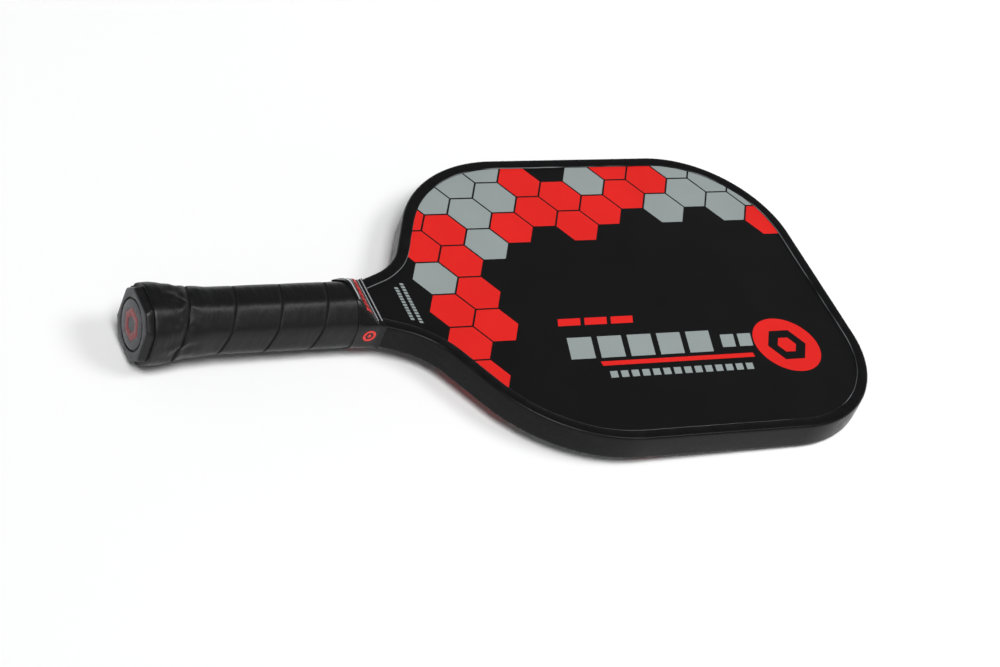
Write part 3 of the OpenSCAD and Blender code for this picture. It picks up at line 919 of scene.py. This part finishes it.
class PADDLE_OT_guard(bpy.types.Operator):
    """Bends the channel-shaped guard round the blade's edge, over its adhesive"""

    bl_idname = "paddle.guard"
    bl_label = "Fit the edge guard"

    def execute(self, context):
        s = context.scene.paddle_guard
        points, faces = build_guard(s)
        plastic = extruded_tpu("extruded polyurethane, black", s.plastic, s.trimmed)
        guard = piece("guard_channel", points, faces, plastic, "guard_plastic", angle=38)
        # The lips' inner edges get a painted pale highlight line, which stands in for light caught on their
        # rounded edge
        inner, above = s.lip_width - 0.25 * MM, FILM_Z + 0.2 * MM
        lip = [d > inner and abs(z) > above for d, z in guard_profile(s)]
        mark(guard, "trim", lip * len(outline(s)))
        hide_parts("edge_guard")
        adhesive = plain_inner("cured contact adhesive", "#B9A36B", 0.4)
        dress(frame["nodes"]["guard_adhesive"], adhesive)
        return {"FINISHED"}


class PADDLE_OT_cap(bpy.types.Operator):
    """Moulds the butt cap with its recess, its disc and the hexagon emblem, and finishes the staples"""

    bl_idname = "paddle.cap"
    bl_label = "Fit the butt cap"

    def execute(self, context):
        s, nodes = context.scene.paddle_cap, frame["nodes"]
        body = moulded_abs("moulded ABS, black", s.plastic, 0.36, s.rubbed)
        points, faces = cap_rings(s, 144)
        cap = piece("cap_moulding", points, faces, body, "cap_plastic", angle=32)
        # The end face is marked for its painted reflection
        end_face = [vertex.co.x < BUTT_X + 0.3 * MM for vertex in cap.data.vertices]
        mark(cap, "scuff", end_face)
        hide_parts("butt_cap")
        grey = moulded_abs("moulded ABS, grey", s.disc, 0.3, s.disc)
        disc = piece("cap_insert", *disc_rings(s, 96), grey, "disc_plastic", angle=32)
        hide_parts("cap_disc")
        ink = gloss_ink("gloss ink, dark red", s.emblem)
        emblem = piece("cap_hexagon", *emblem_rings(s, 96), ink, "red_print", angle=32)
        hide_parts("cap_emblem")
        wire = plain_inner("galvanised steel wire", "#B4B7BA", 0.32, 1.0, 0.667, 0.01 * MM)
        for name in ("cap_staples", "grip_staple"):
            dress(nodes[name], wire)
        return {"FINISHED"}


class PADDLE_OT_grip(bpy.types.Operator):
    """Winds the cushion and the outer skin round the handle in a spiral, over the pallets and the adhesive"""

    bl_idname = "paddle.grip"
    bl_label = "Wind the grip"

    def execute(self, context):
        s, nodes = context.scene.paddle_grip, frame["nodes"]
        felt = plain_inner("needled felt, dark grey", "#3A3A3C", 0.9, size=0.833, height=0.1 * MM)
        # Thickness, depth under the grip's outside, and depth of its seams
        layer = (s.cushion_thickness, s.cushion_depth, 0.2 * MM)
        cushion = wound(s, "cushion_strip", *layer, felt, "cushion_felt", 0.8 * MM, 128)
        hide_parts("grip_cushion")
        leather = coated_polyurethane("coated polyurethane, black", s.skin)
        layer = (s.skin_thickness, 0.0, s.groove_depth)
        skin = wound(s, "grip_skin_strip", *layer, leather, "grip_skin")
        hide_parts("grip_wrap")
        adhesive = plain_inner("cured contact adhesive, strip", "#B9A36B", 0.4)
        dress(nodes["grip_adhesive"], adhesive)
        foam = plain_inner("moulded polyurethane foam", "#C9A876", 0.7, size=0.667, height=0.05 * MM)
        for name in ("front_handle_pallet", "back_handle_pallet"):
            dress(nodes[name], foam)
        return {"FINISHED"}


class PADDLE_OT_tape(bpy.types.Operator):
    """Pulls the finishing tape over the grip's end and the neck, with its silver lines and red print"""

    bl_idname = "paddle.tape"
    bl_label = "Fit the finishing tape"

    def execute(self, context):
        s = context.scene.paddle_tape
        columns = 192
        angle = np.linspace(0, TAU, columns, endpoint=False)
        soft = 0.12 * MM
        inner = np.linspace(TAPE_X + 0.3 * MM, TAPE_END - 0.3 * MM, 42)
        places = [TAPE_X, TAPE_X + soft, *inner, TAPE_END - soft, TAPE_END]
        rings = []
        for x in places:
            thinner = soft if x in (TAPE_X, TAPE_END) else 0.0
            rings.append(on_tape(x + 0 * angle, angle, s.thickness - thinner))
        rings += [on_tape(x + 0 * angle, angle, 0.0) for x in places[::-1]]
        points, faces = np.concatenate(rings), ring_faces(len(rings), columns, closed_rows=True)
        vinyl = calendered_vinyl("calendered vinyl, black", s.vinyl)
        tape = piece("tape_band", points, faces, vinyl, "tape_vinyl", angle=40)
        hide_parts("finishing_tape")
        foil = hot_stamped_foil("hot stamped foil", s.foil)
        lines = piece("tape_foil_lines", *lines_on_tape(s.thickness), foil, "silver_print", angle=40)
        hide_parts("tape_silver_lines")
        ink = gloss_ink("gloss ink, red", s.red)
        marks = piece("tape_print", *marks_on_tape(s), ink, "red_print", angle=40)
        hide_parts("tape_red_marks")
        return {"FINISHED"}


def place_camera(lens):
    data = bpy.data.cameras.new("camera")
    data.lens, data.sensor_width = lens, 36
    data.clip_start, data.clip_end = 0.05, 60
    camera = bpy.data.objects.new("camera", data)
    right = Vector((0.864, -0.385, 0.326)).normalized()
    back = Vector((-0.502, -0.598, 0.625))
    back = (back - back.dot(right) * right).normalized()
    up = back.cross(right)
    turn = Matrix((right, up, back)).transposed().to_4x4()
    camera.matrix_world = Matrix.Translation((-0.75469, -0.90982, 0.93141)) @ turn
    bpy.context.scene.collection.objects.link(camera)
    bpy.context.scene.camera = camera


def panel_light(name, where, aim, size, power):
    data = bpy.data.lights.new(name, "AREA")
    data.shape, data.size, data.size_y, data.energy = "RECTANGLE", size[0], size[1], power
    lamp = bpy.data.objects.new(name, data)
    lamp.location = where
    lamp.rotation_euler = (Vector(aim) - Vector(where)).to_track_quat("-Z", "Y").to_euler()
    bpy.context.scene.collection.objects.link(lamp)
    return lamp


class PADDLE_OT_stage(bpy.types.Operator):
    """Sets the floor under the paddle, the lights, the room and the camera"""

    bl_idname = "paddle.stage"
    bl_label = "Set the stage"

    def execute(self, context):
        s = context.scene.paddle_stage
        # The paddle rests on the flare of its grip and on the lower edge of the tip
        low_x, low_z = BUTT_X + 8 * MM, -FLARE_R - 0.3 * MM
        tilt = math.atan2(-GUARD_Z - low_z, TIP_X - low_x)
        mesh = bpy.data.meshes.new("floor")
        reach, count = 14.0, 29
        line = np.linspace(-reach, reach, count)
        points = [(x, y, low_z + (x - low_x) * math.tan(tilt)) for x in line for y in line]
        corners = [i * count + j for i in range(count - 1) for j in range(count - 1)]
        mesh.from_pydata(points, [], [(a, a + count, a + count + 1, a + 1) for a in corners])
        floor = bpy.data.objects.new("floor", mesh)
        context.scene.collection.objects.link(floor)
        dress(floor, studio_paper("matt background paper", s.floor))
        sun = bpy.data.lights.new("key", "SUN")
        sun.energy, sun.angle = s.key, math.radians(28)
        lamp = bpy.data.objects.new("key", sun)
        lamp.rotation_euler = Vector((0.25, 0.45, -1)).to_track_quat("-Z", "Y").to_euler()
        context.scene.collection.objects.link(lamp)
        panel_light("soft_box", (0.85, -0.5, 1.65), (-0.14, 0, 0), (0.75, 0.6), s.box)
        world = bpy.data.worlds.new("room")
        world.use_nodes = True
        # The backdrop is white near the floor and falls off to a dim room overhead
        tree = world.node_tree
        tree.nodes.clear()
        way = add(tree, "ShaderNodeTexCoord", {}, "Generated")
        height = add(tree, "ShaderNodeSeparateXYZ", {"Vector": way}, "Z")
        fall = {"Value": height, "From Min": 0.12, "From Max": 0.42}
        fall.update({"To Min": s.horizon, "To Max": s.sky})
        strength = add(tree, "ShaderNodeMapRange", fall, "Result", interpolation_type="SMOOTHSTEP")
        white = {"Color": shade(to_linear("#FCFDFF")), "Strength": strength}
        light = add(tree, "ShaderNodeBackground", white, "Background")
        add(tree, "ShaderNodeOutputWorld", {"Surface": light})
        context.scene.world = world
        context.scene.view_settings.view_transform = "Standard"
        place_camera(s.lens)
        return {"FINISHED"}


class PADDLE_PT_panel(bpy.types.Panel):
    """Sizes, colours and steps of the paddle"""

    bl_idname = "PADDLE_PT_panel"
    bl_label = "Paddle"
    bl_space_type = "VIEW_3D"
    bl_region_type = "UI"
    bl_category = "Paddle"

    def draw(self, context):
        for operator, group in STEPS:
            box = self.layout.box()
            box.operator(operator.bl_idname)
            settings = getattr(context.scene, group)
            for key in settings.__annotations__:
                box.prop(settings, key)


STEPS = (
    (PADDLE_OT_stage, "paddle_stage"),
    (PADDLE_OT_blade, "paddle_face"),
    (PADDLE_OT_guard, "paddle_guard"),
    (PADDLE_OT_cap, "paddle_cap"),
    (PADDLE_OT_grip, "paddle_grip"),
    (PADDLE_OT_tape, "paddle_tape"),
)


def register():
    for group in GROUPS.values():
        bpy.utils.register_class(group)
    for name, group in GROUPS.items():
        setattr(bpy.types.Scene, name, bpy.props.PointerProperty(type=group))
    for operator, _ in STEPS:
        bpy.utils.register_class(operator)
    bpy.utils.register_class(PADDLE_PT_panel)


def unregister():
    bpy.utils.unregister_class(PADDLE_PT_panel)
    for operator, _ in reversed(STEPS):
        bpy.utils.unregister_class(operator)
    for name, group in reversed(GROUPS.items()):
        delattr(bpy.types.Scene, name)
        bpy.utils.unregister_class(group)


def main():
    register()
    for operator, _ in STEPS:
        family, step = operator.bl_idname.split(".")
        getattr(getattr(bpy.ops, family), step)()


if __name__ == "__main__":
    main()
